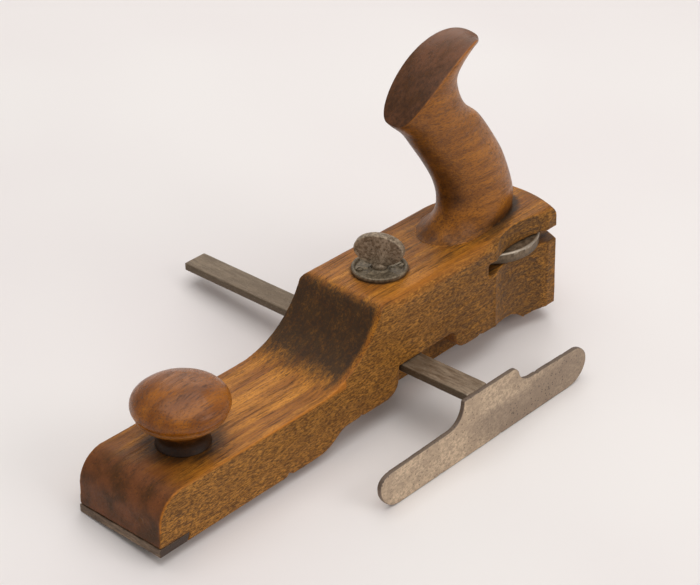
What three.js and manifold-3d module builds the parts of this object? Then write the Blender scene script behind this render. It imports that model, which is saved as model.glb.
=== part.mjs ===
// Handled marking and slitting gauge.
// Millimetres, +Z up. Within the model x runs from the toe to the rear end of the stock,
// y from its right side to its left side, and z up from the sole. The exported group is
// moved so that its origin lies on the sole, straight below the thumb screw.
import * as THREE from 'three';
import { mergeVertices } from 'three/addons/utils/BufferGeometryUtils.js';
import Module from 'manifold-3d';

const wasm = await Module();
wasm.setup();

// ---------- driving dimensions ----------
const GAP = 0.3; // between two pieces that touch

const STOCK_LENGTH = 278.6; // along the middle, to the bowed rear end
const STOCK_WIDTH = 51.7;
const LOW_DECK = 28.8; // height of the front deck
const HIGH_DECK = 58.8; // height of the rear deck
const TOE_RADIUS = 14.4;
const TOE_LEAN = 1.1; // how far the toe leans back before it rounds over
const SLOPE_START = 100; // where the front deck begins to rise
const SLOPE_RADIUS = 46; // hollow of the slope
const SLOPE_ANGLE = THREE.MathUtils.degToRad(64); // steepest part of the slope
const SLOPE_TOP_RADIUS = 7.5;
const DECK_EDGE_RADIUS = 4.2; // round-over along the rear deck
const REAR_BOW_RADIUS = 58; // bow of the rear end, seen from above

const REBATE_DEPTH = 15; // how far the right side's rebate reaches in
const FRONT_RELIEF = 7.5; // height of the rebate ahead of the notch
const NOTCH_FRONT = 154.2;
const NOTCH_REAR = 193.2;
const NOTCH_CEILING = 22.5;
const REAR_RELIEF = 11;
const HEEL_START = 252.4; // tooth where the rebate drops to the shallow relief under the heel
const HEEL_RELIEF = 2.6;

const CENTRE_Y = 25; // line of the knob, thumb screw, handle and disc nut
const CLAMP_X = 169; // thumb screw axis
const ADJUSTER_X = 248; // disc nut and knife axis

const SCALLOP_RADIUS = 50; // finger hollow beside the disc nut
const SCALLOP_DEPTH = 4.3;
const SCALLOP_X = 246;

const SLOT_FRONT = 219.8;
const SLOT_BOTTOM = 41.2;
const SLOT_TOP = 47.9;
const DISC_RADIUS = 26.5;
const DISC_BOTTOM = 41.8;
const DISC_TOP = 47.3;

const BEAM_WIDTH = 14;
const BEAM_FRONT = 156.5;
const BEAM_BOTTOM = 17.9;
const BEAM_TOP = 22.1;
const BEAM_END = 147.8; // far end, to the left of the stock
const FENCE_FACE = -39.6; // face of the fence that meets the board
const FENCE_THICKNESS = 2.4;
const FENCE_TENON = 1.2; // how far the beam is let into the fence
const FENCE_BOTTOM = -9;
const FENCE_CENTRE = 168.8;
const FENCE_LENGTH = 150;

const TOE_PLATE_LENGTH = 16.2;
const TOE_PLATE_THICKNESS = 4;
const TOE_PLATE_DOVETAIL = 1.5;

const KNOB_X = 39.5;
const KNOB_TENON_RADIUS = 5.7;
const KNOB_TENON_LENGTH = 14;

const ESCUTCHEON_RADIUS = 13.5;
const ESCUTCHEON_SCREW_CIRCLE = 9.7;
const ESCUTCHEON_BOSS_RADIUS = 6.6;
const ESCUTCHEON_SCREW_ANGLE = THREE.MathUtils.degToRad(141);
const THUMB_SHAFT_RADIUS = 3.8;
const THUMB_HEAD_WIDTH = 24.4;
const THUMB_HEAD_HEIGHT = 15.8;
const THUMB_HEAD_THICKNESS = 4.6;
const THUMB_HEAD_TURN = THREE.MathUtils.degToRad(115);

const SHANK_SIZE = 8;
const SHANK_BOTTOM = 14;
const SHANK_SHOULDER = 38.5;
const SHANK_TOP = 56;

// ---------- helpers ----------
function toSolid(geometry) {
  geometry.deleteAttribute('normal');
  geometry.deleteAttribute('uv');
  const merged = mergeVertices(geometry, 1e-4);
  return new wasm.Manifold(
    new wasm.Mesh({
      numProp: 3,
      vertProperties: new Float32Array(merged.attributes.position.array),
      triVerts: new Uint32Array(merged.index.array),
    }),
  );
}

function toGeometry(solid) {
  const mesh = solid.getMesh();
  const geometry = new THREE.BufferGeometry();
  geometry.setAttribute('position', new THREE.BufferAttribute(mesh.vertProperties, 3));
  geometry.setIndex(new THREE.BufferAttribute(mesh.triVerts, 1));
  geometry.computeVertexNormals();
  return geometry;
}

function box(x0, x1, y0, y1, z0, z1) {
  const geometry = new THREE.BoxGeometry(x1 - x0, y1 - y0, z1 - z0);
  geometry.translate((x0 + x1) / 2, (y0 + y1) / 2, (z0 + z1) / 2);
  return toSolid(geometry);
}

// A side outline drawn in x and z, carried across the stock from y0 to y1.
function slab(shape, y0, y1, curveSegments = 12) {
  const geometry = new THREE.ExtrudeGeometry(shape, {
    depth: y1 - y0,
    bevelEnabled: false,
    curveSegments,
  });
  geometry.rotateX(Math.PI / 2);
  geometry.translate(0, y1, 0);
  return toSolid(geometry);
}

// An upright round bar, or a cone if the two radii differ.
function rod(x, y, z0, z1, bottomRadius, topRadius = bottomRadius, segments = 24) {
  const geometry = new THREE.CylinderGeometry(topRadius, bottomRadius, z1 - z0, segments);
  geometry.rotateX(Math.PI / 2);
  geometry.translate(x, y, (z0 + z1) / 2);
  return toSolid(geometry);
}

// A turned piece: points are [radius, z] from the axis round to the axis.
function turned(points, x, y, segments = 32) {
  const profile = points.map(([radius, z]) => new THREE.Vector2(radius, z));
  const geometry = new THREE.LatheGeometry(profile, segments);
  geometry.rotateX(Math.PI / 2);
  geometry.translate(x, y, 0);
  return toSolid(geometry);
}

function polygon(points) {
  return new THREE.Shape(points.map(([x, y]) => new THREE.Vector2(x, y)));
}

function piece(name, solid, colour, roughness, metalness) {
  const material = new THREE.MeshStandardMaterial({ color: colour, roughness, metalness });
  const mesh = new THREE.Mesh(toGeometry(solid), material);
  mesh.name = name;
  return mesh;
}

// ---------- stock ----------
function stockSide() {
  const shape = new THREE.Shape();
  shape.moveTo(0, 0);
  shape.lineTo(STOCK_LENGTH, 0);
  shape.lineTo(STOCK_LENGTH, HIGH_DECK);
  const slopeX = SLOPE_START + SLOPE_RADIUS * Math.sin(SLOPE_ANGLE);
  const slopeZ = LOW_DECK + SLOPE_RADIUS * (1 - Math.cos(SLOPE_ANGLE));
  const topX = slopeX + SLOPE_TOP_RADIUS * Math.sin(SLOPE_ANGLE);
  const topZ = slopeZ + SLOPE_TOP_RADIUS * (1 - Math.cos(SLOPE_ANGLE));
  shape.lineTo(topX + 4, HIGH_DECK);
  const level = Math.PI / 2;
  shape.absarc(topX, topZ - SLOPE_TOP_RADIUS, SLOPE_TOP_RADIUS, level, level + SLOPE_ANGLE, false);
  shape.absarc(SLOPE_START, LOW_DECK + SLOPE_RADIUS, SLOPE_RADIUS, SLOPE_ANGLE - level, -level, true);
  const toeX = TOE_LEAN + TOE_RADIUS;
  shape.absarc(toeX, LOW_DECK - TOE_RADIUS, TOE_RADIUS, level, Math.PI, false);
  shape.lineTo(0, 0);
  return shape;
}

// Everything inside the bowed rear end: a drum with a rounded top edge, and a block ahead of it.
function rearBow() {
  const radius = DECK_EDGE_RADIUS;
  const steps = 5;
  const corner = [];
  for (let i = 0; i <= steps; i += 1) {
    const turn = (Math.PI / 2) * (i / steps);
    corner.push([
      REAR_BOW_RADIUS - radius * (1 - Math.cos(turn)),
      HIGH_DECK - radius * (1 - Math.sin(turn)),
    ]);
  }
  return turned([
    [0, -1],
    [REAR_BOW_RADIUS, -1],
    ...corner,
    [REAR_BOW_RADIUS - radius, HIGH_DECK + 1],
    [0, HIGH_DECK + 1],
  ], STOCK_LENGTH - REAR_BOW_RADIUS, STOCK_WIDTH / 2, 120)
    .add(box(-1, 250, -1, STOCK_WIDTH + 1, -1, HIGH_DECK + 1));
}

// Rebate under the right side: low at the front, tall over the notch, then stepped down
// to the heel, which it just clears.
function rebateSide() {
  const shape = new THREE.Shape();
  shape.moveTo(98, -1);
  shape.lineTo(STOCK_LENGTH + 1, -1);
  shape.lineTo(STOCK_LENGTH + 1, HEEL_RELIEF + 1.8);
  shape.quadraticCurveTo(262, HEEL_RELIEF + 1.6, HEEL_START, HEEL_RELIEF);
  shape.quadraticCurveTo(250, 5.6, 243, 8);
  shape.lineTo(226, REAR_RELIEF);
  shape.lineTo(204, REAR_RELIEF + 0.3);
  shape.quadraticCurveTo(199, 11.6, 198, 13);
  shape.lineTo(NOTCH_REAR, NOTCH_CEILING);
  shape.lineTo(NOTCH_FRONT, NOTCH_CEILING);
  shape.lineTo(NOTCH_FRONT, 15.5);
  shape.quadraticCurveTo(153.6, 8.2, 146, FRONT_RELIEF);
  shape.lineTo(118, FRONT_RELIEF);
  shape.bezierCurveTo(111, 7, 110, 0, 98, 0);
  return shape;
}

// Wedge of waste removed from a long top edge to leave it rounded.
function edgeWaste(side) {
  const radius = DECK_EDGE_RADIUS;
  const start = 138;
  const length = STOCK_LENGTH + 2 - start;
  const shape = new THREE.Shape();
  shape.moveTo(-1, HIGH_DECK - radius);
  shape.lineTo(0, HIGH_DECK - radius);
  shape.absarc(radius, HIGH_DECK - radius, radius, Math.PI, Math.PI / 2, true);
  shape.lineTo(radius, HIGH_DECK + 1);
  shape.lineTo(-1, HIGH_DECK + 1);
  const geometry = new THREE.ExtrudeGeometry(shape, {
    depth: length,
    bevelEnabled: false,
    curveSegments: 5,
  });
  // Shape x becomes y and shape y becomes z, so the length runs along x.
  geometry.rotateX(Math.PI / 2);
  geometry.rotateZ(Math.PI / 2);
  geometry.translate(start, 0, 0);
  if (side === 'left') {
    geometry.rotateZ(Math.PI);
    geometry.translate(2 * start + length, STOCK_WIDTH, 0);
  }
  return toSolid(geometry);
}

function scallop(y) {
  return rod(SCALLOP_X, y, -1, HIGH_DECK + 1, SCALLOP_RADIUS, SCALLOP_RADIUS, 96);
}

function escutcheonScrewSpot(side) {
  const turn = ESCUTCHEON_SCREW_ANGLE + (side === 'left' ? 0 : Math.PI);
  return [
    CLAMP_X + ESCUTCHEON_SCREW_CIRCLE * Math.cos(turn),
    CENTRE_Y + ESCUTCHEON_SCREW_CIRCLE * Math.sin(turn),
  ];
}

const toeScrewSpots = [[8.2, 12], [8.2, STOCK_WIDTH - 12]];
const guideScrewSpots = [[ADJUSTER_X - 10.5, CENTRE_Y], [ADJUSTER_X + 10.5, CENTRE_Y]];

function toePlateSide(grow) {
  return polygon([
    [0, 0],
    [TOE_PLATE_LENGTH + grow, 0],
    [TOE_PLATE_LENGTH + TOE_PLATE_DOVETAIL + grow, TOE_PLATE_THICKNESS + grow],
    [0, TOE_PLATE_THICKNESS + grow],
  ]);
}

function makeStock() {
  let solid = slab(stockSide(), 0, STOCK_WIDTH).intersect(rearBow());
  const cuts = [
    slab(rebateSide(), -1, REBATE_DEPTH, 6),
    edgeWaste('right'),
    edgeWaste('left'),
    scallop(SCALLOP_DEPTH - SCALLOP_RADIUS),
    scallop(STOCK_WIDTH - SCALLOP_DEPTH + SCALLOP_RADIUS),
    box(SLOT_FRONT, STOCK_LENGTH + 1, -1, STOCK_WIDTH + 1, SLOT_BOTTOM, SLOT_TOP),
    // wear plate seat and its screw holes
    slab(toePlateSide(GAP), -1, STOCK_WIDTH + 1),
    box(-1, 0.5, -1, STOCK_WIDTH + 1, -1, TOE_PLATE_THICKNESS + GAP),
    box(-1, TOE_PLATE_LENGTH + GAP, -1, STOCK_WIDTH + 1, -1, 0.5),
    ...toeScrewSpots.map(([x, y]) => rod(x, y, 3, 16.4, 2.1, 2.1, 20)),
    // knob socket
    rod(KNOB_X, CENTRE_Y, LOW_DECK - KNOB_TENON_LENGTH, LOW_DECK + 1, KNOB_TENON_RADIUS + GAP),
    // beam mortise, the pocket for the pressure shoe above it, and the thumb screw's way down
    box(
      BEAM_FRONT - 0.4, BEAM_FRONT + BEAM_WIDTH + 0.4,
      14, STOCK_WIDTH + 1,
      BEAM_BOTTOM - GAP, BEAM_TOP + 0.4,
    ),
    box(157.6, 176.4, 17.6, 32.4, BEAM_TOP - 1, 29.6),
    rod(CLAMP_X, CENTRE_Y, 29, 47, 4.4),
    rod(CLAMP_X, CENTRE_Y, 46, HIGH_DECK + 1, ESCUTCHEON_BOSS_RADIUS + GAP),
    ...['left', 'right'].map((side) => {
      const [x, y] = escutcheonScrewSpot(side);
      return rod(x, y, 47, HIGH_DECK + 1, 1.6, 1.6, 16);
    }),
    // handle mortise
    box(223.7, 256.3, 17.7, 32.3, 50.7, HIGH_DECK + 1),
    // the shank's round and square ways, and the guide plate's seat
    rod(ADJUSTER_X, CENTRE_Y, 38, 51, 4.5),
    box(
      ADJUSTER_X - SHANK_SIZE / 2 - 0.35, ADJUSTER_X + SHANK_SIZE / 2 + 0.35,
      CENTRE_Y - SHANK_SIZE / 2 - 0.35, CENTRE_Y + SHANK_SIZE / 2 + 0.35,
      -1, SHANK_SHOULDER + GAP,
    ),
    box(ADJUSTER_X - 15 - GAP, ADJUSTER_X + 15 + GAP, 17 - GAP, 33 + GAP, -1, 3 + GAP),
    ...guideScrewSpots.map(([x, y]) => rod(x, y, 3, 12.4, 1.8, 1.8, 16)),
  ];
  for (const cut of cuts) {
    solid = solid.subtract(cut);
  }
  return solid;
}

// ---------- handle ----------
// Each row is one section of the grip, from its front point to its rear point in the
// middle plane, with its half thickness and how far its top is crowned:
// [front x, front z, rear x, rear z, half thickness, crown].
const handleSections = [
  [209, 59.1, 263.9, 59.1, 13.3, 0],
  [214.2, 72.6, 263.2, 69.7, 13.2, 0],
  [212.1, 84.9, 257.1, 86.5, 13, 0],
  [204.5, 98.3, 250.8, 98, 12.9, 0],
  [194.4, 112.8, 238.2, 115.7, 12.5, 0],
  [188.3, 121.1, 226, 127.1, 12.3, 0],
  [180.8, 127.9, 220.3, 143.3, 12.4, 11.7],
  [179.2, 129.8, 237.8, 156.2, 13, 28.5],
];
const TOP_FULLNESS = 0.36; // how much fuller than an oval the top of the grip is

// A smooth curve through one value taken from every section.
function smooth(pick) {
  return new THREE.CatmullRomCurve3(handleSections.map(pick), false, 'catmullrom');
}

// Rings of an open tube along the grip, closed by a flat foot and a crowned top.
function handleGrip(rings = 24, around = 24) {
  const fronts = smooth((s) => new THREE.Vector3(s[0], 0, s[1]));
  const rears = smooth((s) => new THREE.Vector3(s[2], 0, s[3]));
  const widths = smooth((s) => new THREE.Vector3(s[4], s[5], 0));
  const positions = [];
  for (let i = 0; i < rings; i += 1) {
    const t = i / (rings - 1);
    const front = fronts.getPoint(t);
    const rear = rears.getPoint(t);
    const width = widths.getPoint(t);
    const middle = front.clone().add(rear).multiplyScalar(0.5);
    const half = rear.clone().sub(front).multiplyScalar(0.5);
    const up = new THREE.Vector3(-half.z, 0, half.x).normalize();
    const nearTop = THREE.MathUtils.clamp((t * 7 - 4.5) / 2.5, 0, 1);
    const oval = 1 - TOP_FULLNESS * nearTop ** 1.5;
    for (let j = 0; j < around; j += 1) {
      const angle = (2 * Math.PI * j) / around;
      const along = (1 + Math.cos(angle)) / 2;
      const crown = i === 0 ? 0 : Math.max(width.y, 0) * along * (1 - along) ** 0.64;
      const side = Math.sign(Math.sin(angle)) * Math.abs(Math.sin(angle)) ** oval;
      const point = middle.clone().addScaledVector(half, Math.cos(angle)).addScaledVector(up, crown);
      positions.push(point.x, CENTRE_Y + width.x * side, point.z);
    }
  }
  const faces = [];
  for (let i = 0; i < rings - 1; i += 1) {
    for (let j = 0; j < around; j += 1) {
      const a = i * around + j;
      const b = i * around + ((j + 1) % around);
      faces.push(a, b, a + around, b, b + around, a + around);
    }
  }
  // Foot and top are closed by strips that run across from one side to the other.
  const last = (rings - 1) * around;
  for (let j = 0; j < around / 2; j += 1) {
    const left = j;
    const leftNext = j + 1;
    const right = (around - j) % around;
    const rightNext = around - j - 1;
    if (j > 0) {
      faces.push(left, right, leftNext);
      faces.push(last + left, last + leftNext, last + right);
    }
    if (rightNext !== leftNext) {
      faces.push(leftNext, right, rightNext);
      faces.push(last + leftNext, last + rightNext, last + right);
    }
  }
  const geometry = new THREE.BufferGeometry();
  geometry.setAttribute('position', new THREE.Float32BufferAttribute(positions, 3));
  geometry.setIndex(faces);
  return toSolid(geometry);
}

function makeHandle() {
  return handleGrip()
    .add(box(224, 256, 18, 32, 51, 60))
    .subtract(rod(ADJUSTER_X, CENTRE_Y, 50, 57.4, 4.6));
}

// ---------- turned and small pieces ----------
function makeKnob() {
  const foot = LOW_DECK + GAP;
  return turned([
    [0, LOW_DECK - KNOB_TENON_LENGTH + GAP],
    [KNOB_TENON_RADIUS, LOW_DECK - KNOB_TENON_LENGTH + GAP],
    [KNOB_TENON_RADIUS, foot],
    [12.2, foot],
    [12.1, foot + 1],
    [11.3, foot + 3.9],
    [12.1, foot + 7.6],
    [14.5, foot + 10.4],
    [18.5, foot + 12.7],
    [20.4, foot + 14.5],
    [20.8, foot + 16.5],
    [21.6, foot + 17.6],
    [22.4, foot + 19.6],
    [22.1, foot + 21.6],
    [21, foot + 23.6],
    [18.5, foot + 25.9],
    [15, foot + 27.9],
    [10, foot + 29.7],
    [5, foot + 30.6],
    [0, foot + 30.8],
  ], KNOB_X, CENTRE_Y);
}

// Countersunk wood screw with its head down, as under the sole.
function sunkScrewUp(x, y, headZ, headRadius, shaftRadius, length) {
  const cone = headRadius - shaftRadius;
  const solid = turned([
    [0, headZ],
    [headRadius, headZ],
    [shaftRadius, headZ + cone],
    [shaftRadius, headZ + length - 2.5],
    [0, headZ + length],
  ], x, y, 20);
  const reach = headRadius + 1;
  return solid.subtract(box(x - reach, x + reach, y - 0.4, y + 0.4, headZ - 1, headZ + 0.7));
}

function toeScrew(x, y) {
  return sunkScrewUp(x, y, 0.2, 3.5, 1.7, 15.4);
}

function guideScrew(x, y) {
  return sunkScrewUp(x, y, 0.4, 3, 1.4, 11.4);
}

function makeToePlate() {
  let solid = slab(toePlateSide(0), 0, STOCK_WIDTH);
  for (const [x, y] of toeScrewSpots) {
    solid = solid.subtract(rod(x, y, -1, 5, 2.1, 2.1, 20));
    solid = solid.subtract(rod(x, y, -0.5, 2.5, 4.3, 1.3, 20));
  }
  return solid;
}

function makeGuidePlate() {
  const x = ADJUSTER_X;
  let solid = box(x - 15, x + 15, 17, 33, 0.3, 3);
  solid = solid.subtract(box(x - 3.9, x + 3.9, 20.6, 22.95, -1, 4));
  for (const [screwX, screwY] of guideScrewSpots) {
    solid = solid.subtract(rod(screwX, screwY, -1, 4, 1.8, 1.8, 16));
    solid = solid.subtract(rod(screwX, screwY, -0.4, 2.1, 4.1, 1.6, 16));
  }
  return solid;
}

// Round cast nut plate: a dished face inside a raised rim, with a threaded boss below.
function makeEscutcheon() {
  const base = HIGH_DECK + GAP;
  let solid = turned([
    [0, 46.8],
    [ESCUTCHEON_BOSS_RADIUS, 46.8],
    [ESCUTCHEON_BOSS_RADIUS, base],
    [ESCUTCHEON_RADIUS - 0.5, base],
    [ESCUTCHEON_RADIUS, base + 0.5],
    [ESCUTCHEON_RADIUS, base + 1.5],
    [ESCUTCHEON_RADIUS - 0.5, base + 2.1],
    [ESCUTCHEON_RADIUS - 1.1, base + 2],
    [ESCUTCHEON_RADIUS - 1.5, base + 1.2],
    [0, base + 1.2],
  ], CLAMP_X, CENTRE_Y, 36);
  solid = solid.subtract(rod(CLAMP_X, CENTRE_Y, 40, 65, THUMB_SHAFT_RADIUS + GAP));
  for (const side of ['left', 'right']) {
    const [x, y] = escutcheonScrewSpot(side);
    solid = solid.subtract(rod(x, y, 58, base + 2, 1.6, 1.6, 16));
    solid = solid.subtract(rod(x, y, base - 0.2, base + 1.3, 1.3, 2.4, 16));
  }
  return solid;
}

function makeEscutcheonScrew(side) {
  const [x, y] = escutcheonScrewSpot(side);
  const top = HIGH_DECK + GAP + 1.6;
  const solid = turned([
    [0, 47.4],
    [1.3, 49.5],
    [1.3, HIGH_DECK + GAP + 0.3],
    [2, top - 0.4],
    [1.8, top],
    [0, top + 0.2],
  ], x, y, 20);
  return solid.subtract(box(x - 3, x + 3, y - 0.35, y + 0.35, top - 0.5, top + 1));
}

// Thumb screw: an upright oval head on a round shaft.
function makeThumbScrew() {
  const headBottom = 62;
  const shape = new THREE.Shape();
  const bevel = 0.7;
  const halfWidth = THUMB_HEAD_WIDTH / 2 - bevel;
  const halfHeight = THUMB_HEAD_HEIGHT / 2 - bevel;
  shape.absellipse(0, 0, halfWidth, halfHeight, 0, 2 * Math.PI, false, 0);
  const head = new THREE.ExtrudeGeometry(shape, {
    depth: THUMB_HEAD_THICKNESS - 2 * bevel,
    bevelEnabled: true,
    bevelSize: bevel,
    bevelThickness: bevel,
    bevelSegments: 2,
    curveSegments: 14,
  });
  head.translate(0, 0, -(THUMB_HEAD_THICKNESS - 2 * bevel) / 2);
  head.rotateX(Math.PI / 2);
  head.rotateZ(THUMB_HEAD_TURN);
  head.translate(CLAMP_X, CENTRE_Y, headBottom + THUMB_HEAD_HEIGHT / 2);
  const shaft = turned([
    [0, 24.9],
    [THUMB_SHAFT_RADIUS - 0.8, 24.9],
    [THUMB_SHAFT_RADIUS, 25.7],
    [THUMB_SHAFT_RADIUS, headBottom + 1.5],
    [2.2, headBottom + 5],
    [0, headBottom + 5],
  ], CLAMP_X, CENTRE_Y, 24);
  return toSolid(head).add(shaft);
}

function makeShoe() {
  return box(158, 176, 18, 32, BEAM_TOP + GAP, 26.2)
    .subtract(rod(CLAMP_X, CENTRE_Y, 24.6, 27, THUMB_SHAFT_RADIUS + GAP));
}

// ---------- beam and fence ----------
function makeBeam() {
  const rear = BEAM_FRONT + BEAM_WIDTH;
  return box(BEAM_FRONT, rear, FENCE_FACE + GAP, BEAM_END, BEAM_BOTTOM, BEAM_TOP)
    .add(box(
      BEAM_FRONT + 2.5, rear - 2.5,
      FENCE_FACE - FENCE_TENON, FENCE_FACE + 1,
      BEAM_BOTTOM + 0.8, BEAM_TOP - 0.8,
    ));
}

function fenceOutline() {
  const left = FENCE_CENTRE - FENCE_LENGTH / 2;
  const right = FENCE_CENTRE + FENCE_LENGTH / 2;
  const shape = new THREE.Shape();
  shape.moveTo(left + 12, FENCE_BOTTOM);
  shape.lineTo(right - 13, FENCE_BOTTOM);
  shape.bezierCurveTo(right - 6, FENCE_BOTTOM, right, -4, right, 1.5);
  shape.bezierCurveTo(right, 6, right - 4, 10.6, right - 10, 11);
  shape.lineTo(201, 12);
  shape.quadraticCurveTo(193, 12.6, 191.6, 18);
  shape.quadraticCurveTo(190.2, 22.2, 186, 22.3);
  shape.lineTo(151.4, 22.3);
  shape.bezierCurveTo(150.8, 15, 148, 10.8, 140, 10.5);
  shape.lineTo(left + 8, 9.8);
  shape.bezierCurveTo(left + 2, 9.2, left, 7, left, 3.5);
  shape.bezierCurveTo(left, -1.5, left + 5, FENCE_BOTTOM, left + 12, FENCE_BOTTOM);
  return shape;
}

function makeFence() {
  const rear = BEAM_FRONT + BEAM_WIDTH;
  return slab(fenceOutline(), FENCE_FACE - FENCE_THICKNESS, FENCE_FACE, 8)
    .subtract(box(
      BEAM_FRONT + 2.2, rear - 2.2,
      FENCE_FACE - FENCE_TENON - GAP, FENCE_FACE + 1,
      BEAM_BOTTOM + 0.5, BEAM_TOP - 0.5,
    ));
}

// ---------- knife adjuster ----------
function makeDisc() {
  return turned([
    [SHANK_SIZE / 2 + GAP, DISC_BOTTOM],
    [DISC_RADIUS - 0.7, DISC_BOTTOM],
    [DISC_RADIUS, DISC_BOTTOM + 0.7],
    [DISC_RADIUS, DISC_TOP - 0.7],
    [DISC_RADIUS - 0.7, DISC_TOP],
    [SHANK_SIZE / 2 + GAP, DISC_TOP],
    [SHANK_SIZE / 2 + GAP, DISC_BOTTOM],
  ], ADJUSTER_X, CENTRE_Y, 64);
}

const KNIFE_SCREW_Z = 22;

function makeShank() {
  const half = SHANK_SIZE / 2;
  const [x0, x1] = [ADJUSTER_X - half, ADJUSTER_X + half];
  const [y0, y1] = [CENTRE_Y - half, CENTRE_Y + half];
  return box(x0, x1, y0, y1, SHANK_BOTTOM, SHANK_SHOULDER)
    .add(rod(ADJUSTER_X, CENTRE_Y, SHANK_SHOULDER - 1, SHANK_TOP, half))
    .subtract(box(ADJUSTER_X - 5, ADJUSTER_X + 5, 20, 22.85, SHANK_BOTTOM - 1, 30.3))
    .subtract(toSolid(knifeScrewHole(1.7)));
}

function knifeScrewHole(radius) {
  const geometry = new THREE.CylinderGeometry(radius, radius, 12, 16);
  geometry.translate(ADJUSTER_X, 22, KNIFE_SCREW_Z);
  return geometry;
}

function makeKnife() {
  const x = ADJUSTER_X;
  const blade = polygon([
    [x - 3.4, 5.5],
    [x + 1.2, 1.2],
    [x + 3.4, 6.5],
    [x + 3.4, 30],
    [x - 3.4, 30],
  ]);
  const head = new THREE.CylinderGeometry(1.7, 2.9, 1.2, 16);
  head.translate(x, 21.5, KNIFE_SCREW_Z);
  return slab(blade, 21, 22.55)
    .subtract(toSolid(knifeScrewHole(1.7)))
    .subtract(toSolid(head));
}

function makeKnifeScrew() {
  const shaft = new THREE.CylinderGeometry(1.4, 1.4, 6.4, 16);
  shaft.translate(ADJUSTER_X, 24.5, KNIFE_SCREW_Z);
  const head = new THREE.CylinderGeometry(1.4, 2.5, 1, 16);
  head.translate(ADJUSTER_X, 21.6, KNIFE_SCREW_Z);
  return toSolid(shaft).add(toSolid(head));
}

// ---------- assembly ----------
const WOOD = 0x8a5526;
const KNOB_WOOD = 0x7a4018;
const STEEL = 0x7d7466;
const DARK_STEEL = 0x5c564d;

const gauge = new THREE.Group();
gauge.position.set(-CLAMP_X, -CENTRE_Y, 0);

const body = new THREE.Group();
body.add(
  piece('stock', makeStock(), WOOD, 0.5, 0),
  piece('handle', makeHandle(), WOOD, 0.42, 0),
  piece('front_knob', makeKnob(), KNOB_WOOD, 0.38, 0),
  piece('toe_wear_plate', makeToePlate(), DARK_STEEL, 0.6, 0.9),
  piece('toe_plate_screw_right', toeScrew(...toeScrewSpots[0]), STEEL, 0.5, 0.9),
  piece('toe_plate_screw_left', toeScrew(...toeScrewSpots[1]), STEEL, 0.5, 0.9),
  piece('escutcheon_nut', makeEscutcheon(), DARK_STEEL, 0.5, 0.9),
  piece('escutcheon_screw_left', makeEscutcheonScrew('left'), STEEL, 0.45, 0.9),
  piece('escutcheon_screw_right', makeEscutcheonScrew('right'), STEEL, 0.45, 0.9),
  piece('guide_plate', makeGuidePlate(), STEEL, 0.5, 0.9),
  piece('guide_plate_screw_front', guideScrew(...guideScrewSpots[0]), STEEL, 0.5, 0.9),
  piece('guide_plate_screw_rear', guideScrew(...guideScrewSpots[1]), STEEL, 0.5, 0.9),
);

const clamp = new THREE.Group();
clamp.add(
  piece('thumb_screw', makeThumbScrew(), DARK_STEEL, 0.5, 0.9),
  piece('pressure_shoe', makeShoe(), STEEL, 0.5, 0.9),
);

const slidingFence = new THREE.Group();
slidingFence.add(
  piece('beam', makeBeam(), STEEL, 0.45, 0.9),
  piece('fence_plate', makeFence(), STEEL, 0.45, 0.9),
);

const adjuster = new THREE.Group();
adjuster.add(
  piece('disc_nut', makeDisc(), STEEL, 0.4, 0.9),
  piece('cutter_shank', makeShank(), STEEL, 0.45, 0.9),
  piece('knife', makeKnife(), STEEL, 0.35, 0.9),
  piece('knife_screw', makeKnifeScrew(), STEEL, 0.45, 0.9),
);

gauge.add(body, clamp, slidingFence, adjuster);

export default gauge;
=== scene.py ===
import math

import bmesh
import bpy
import numpy as np
from mathutils import Matrix, Vector, noise


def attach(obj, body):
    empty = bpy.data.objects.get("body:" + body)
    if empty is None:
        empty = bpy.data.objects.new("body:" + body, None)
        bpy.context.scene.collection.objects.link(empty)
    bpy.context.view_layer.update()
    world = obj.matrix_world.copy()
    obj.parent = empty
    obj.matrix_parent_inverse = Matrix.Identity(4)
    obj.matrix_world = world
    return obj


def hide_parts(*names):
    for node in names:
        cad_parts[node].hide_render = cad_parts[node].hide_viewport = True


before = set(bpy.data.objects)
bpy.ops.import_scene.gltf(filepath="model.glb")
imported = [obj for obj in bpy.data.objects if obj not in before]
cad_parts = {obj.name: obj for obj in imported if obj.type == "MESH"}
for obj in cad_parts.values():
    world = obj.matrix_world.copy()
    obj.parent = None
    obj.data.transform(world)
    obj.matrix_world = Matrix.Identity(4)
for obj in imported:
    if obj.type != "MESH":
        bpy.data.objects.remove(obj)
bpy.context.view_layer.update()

# Sizes below are in millimetres from the right-hand bottom corner of the toe: x along the
# stock, y across it to the left, z up from the sole. DATUM takes them to the CAD's frame.
DATUM = np.array([169.0, 25.0, 0.0])
MID_Y = 25.0
STOCK_WIDTH = 51.7
LOW_DECK = 28.8
HIGH_DECK = 58.8
KNOB_X = 39.5
CLAMP_X = 169.0
ADJUSTER_X = 248.0
FENCE_X = 168.8
FENCE_HALF_LENGTH = 75
FENCE_FACE = -39.6
FENCE_THICKNESS = 2.4
FENCE_BOTTOM = -9.0


# ---------- numbers ----------
def smoothstep(low, high, value):
    t = np.clip((np.asarray(value, float) - low) / (high - low), 0, 1)
    return t * t * (3 - 2 * t)


def linear(red, green, blue):
    """A display colour, 0 to 255, as the linear values that a shader takes."""
    out = []
    for c in (red, green, blue):
        c /= 255
        out.append(c / 12.92 if c <= 0.04045 else ((c + 0.055) / 1.055) ** 2.4)
    return (*out, 1)


def ripple(points, size, seed, detail=1):
    """Smooth noise, about -1 to 1, that changes over a distance of size."""
    shift = Vector((seed * 7.31, seed * 3.17, seed * 5.73))
    values = np.zeros(len(points))
    for octave in range(detail):
        k = 2**octave / size
        values += [noise.noise(Vector(p) * k + shift) / 2**octave for p in points]
    return values


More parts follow.
